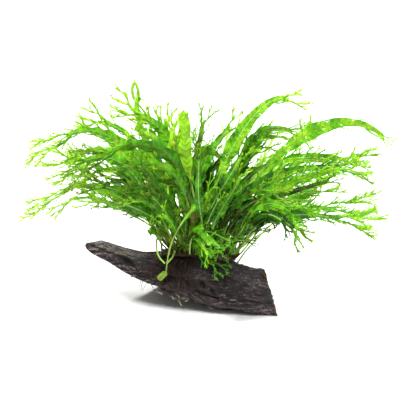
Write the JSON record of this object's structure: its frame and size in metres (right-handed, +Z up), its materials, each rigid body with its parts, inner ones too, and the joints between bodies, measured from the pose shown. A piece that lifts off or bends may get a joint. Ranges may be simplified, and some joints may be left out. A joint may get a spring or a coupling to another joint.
{
  "type": "java fern on driftwood",
  "caption": "Aquarium fern with forked, crested fronds growing from creeping rhizomes on a dark piece of driftwood that stands on a flat foot.",
  "frame": {"origin": "on the flat foot that the wood stands on, under its thick end", "axes": "+Z up; +X along the wood towards its broken thick end; -Y towards the side with the offshoot and the long roots"},
  "size_m": [0.3295, 0.2346, 0.2085],
  "materials": {
    "bark": "weathered, dark and grooved",
    "rhizome": "rough, brown-green",
    "offshoot": "waxy, fresh green",
    "roots": "matte, fibrous",
    "frond": "semi-gloss, thin leaf"
  },
  "bodies": {
    "root": {"driftwood": "bark", "rhizome_front": "rhizome", "rhizome_back": "rhizome", "rhizome_offshoot": "offshoot", "roots_left": "roots", "roots_middle": "roots", "roots_right": "roots", "frond_01": "frond", "frond_02": "frond", "frond_03": "frond", "frond_04": "frond", "frond_05": "frond", "frond_06": "frond", "frond_07": "frond", "frond_08": "frond", "frond_09": "frond", "frond_10": "frond", "frond_11": "frond", "frond_12": "frond", "frond_13": "frond", "frond_14": "frond", "frond_15": "frond", "frond_16": "frond", "frond_17": "frond", "frond_18": "frond", "frond_19": "frond", "frond_20": "frond", "frond_21": "frond", "frond_22": "frond", "frond_23": "frond", "frond_24": "frond", "frond_25": "frond", "frond_26": "frond", "frond_27": "frond", "frond_28": "frond", "frond_29": "frond", "frond_30": "frond", "frond_31": "frond", "frond_32": "frond", "frond_33": "frond", "frond_34": "frond", "frond_35": "frond", "frond_36": "frond", "frond_37": "frond", "frond_38": "frond", "frond_39": "frond", "frond_40": "frond", "frond_41": "frond", "frond_42": "frond", "frond_43": "frond", "frond_44": "frond", "frond_45": "frond", "frond_46": "frond", "frond_47": "frond", "frond_48": "frond", "frond_49": "frond", "frond_50": "frond", "frond_51": "frond", "frond_52": "frond"}
  },
  "joints": []
}
